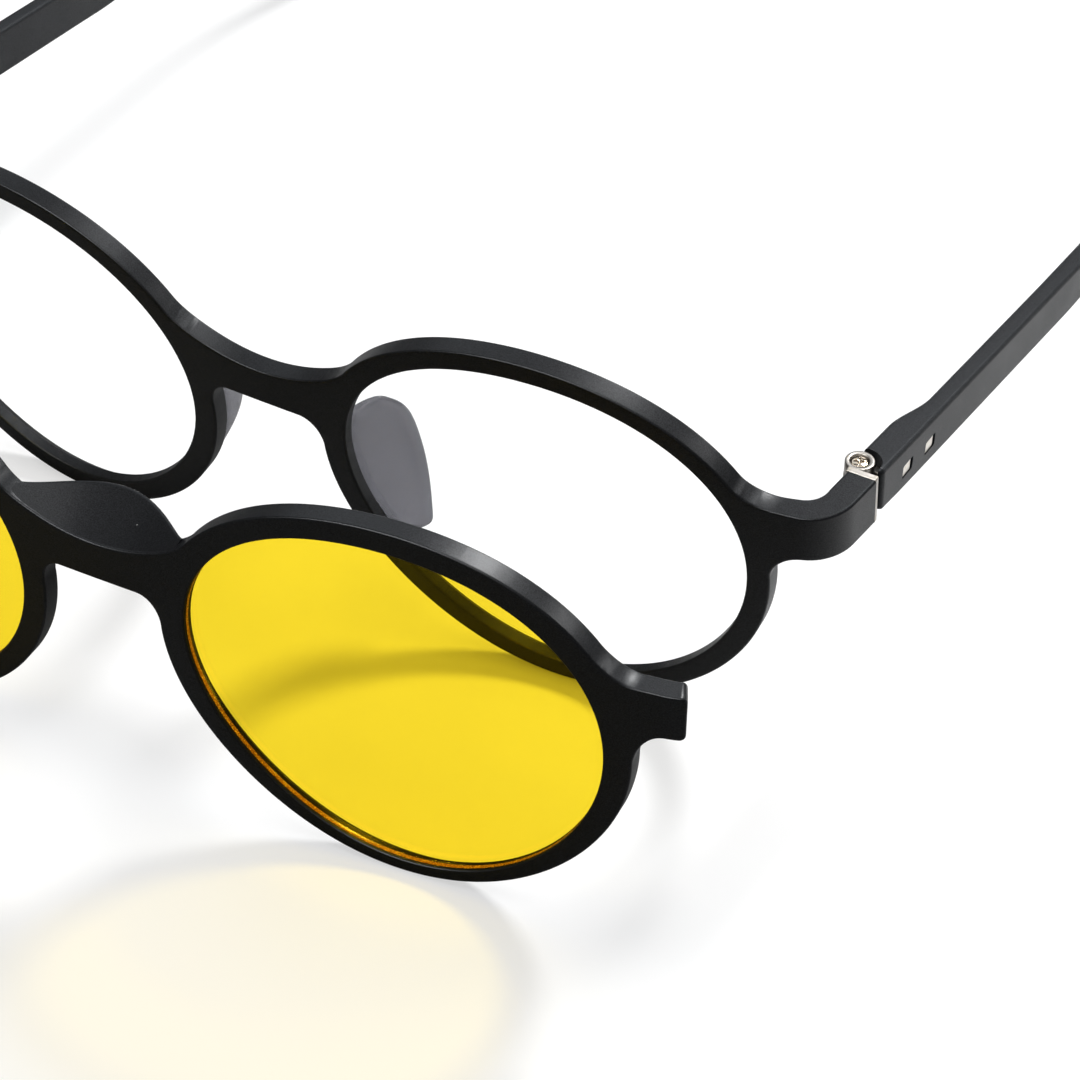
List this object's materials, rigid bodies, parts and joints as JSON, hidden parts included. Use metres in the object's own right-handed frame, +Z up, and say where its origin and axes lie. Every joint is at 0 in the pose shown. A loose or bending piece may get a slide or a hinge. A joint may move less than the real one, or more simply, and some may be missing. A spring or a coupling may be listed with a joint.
{
  "type": "clip on sunglasses",
  "caption": "Round spectacles with folding temples and a loose clip-on sun lens front that hooks over the bridge; its small magnets are inferred.",
  "frame": {"origin": "on the table plane, under the middle of the bounding box of the spectacles standing on their rims and temple tips with the clip-on standing loose in front", "axes": "+Z up, front of the spectacles towards -Y, temples running along +Y, +X towards the right-hand temple as seen from the front"},
  "size_m": [0.15, 0.1661, 0.0501],
  "materials": {
    "black_plastic": "satin black with fine grain and eased glossy edges",
    "clear_lens": "clear polished",
    "yellow_lens": "yellow tinted polished",
    "smoke_pad": "smoke grey, semi-translucent",
    "nickel": "bright nickel, lightly brushed",
    "magnet": "nickel plated magnet"
  },
  "bodies": {
    "front": {"front_frame": "black_plastic", "lens_right": "clear_lens", "lens_left": "clear_lens", "nose_pad_right": "smoke_pad", "nose_pad_left": "smoke_pad", "front_hinge_right": "nickel", "front_hinge_left": "nickel", "hinge_screw_right": "nickel", "hinge_screw_left": "nickel", "front_magnet_right": "magnet", "front_magnet_left": "magnet"},
    "temple_right_arm": {"temple_right": "black_plastic", "temple_hinge_right": "nickel", "temple_stud_right_front": "nickel", "temple_stud_right_rear": "nickel"},
    "temple_left_arm": {"temple_left": "black_plastic", "temple_hinge_left": "nickel", "temple_stud_left_front": "nickel", "temple_stud_left_rear": "nickel"},
    "clip_on": {"clip_frame": "black_plastic", "clip_lens_right": "yellow_lens", "clip_lens_left": "yellow_lens", "clip_magnet_right": "magnet", "clip_magnet_left": "magnet"}
  },
  "joints": [
    {"name": "temple_right_fold", "type": "hinge", "parent": "front", "child": "temple_right_arm", "pos_m": [0.0649, -0.03812, 0.03628], "axis": [0, 0, 1], "range_deg": [0, 85]},
    {"name": "temple_left_fold", "type": "hinge", "parent": "front", "child": "temple_left_arm", "pos_m": [-0.0649, -0.03812, 0.03628], "axis": [0, 0, -1], "range_deg": [0, 92]},
    {"name": "clip_on_seat", "type": "hinge", "parent": "front", "child": "clip_on", "pos_m": [0.06466, -0.07496, 0.20464], "axis": [0.9414, 0.0238, -0.3365], "range_deg": [0, 8.6]}
  ]
}
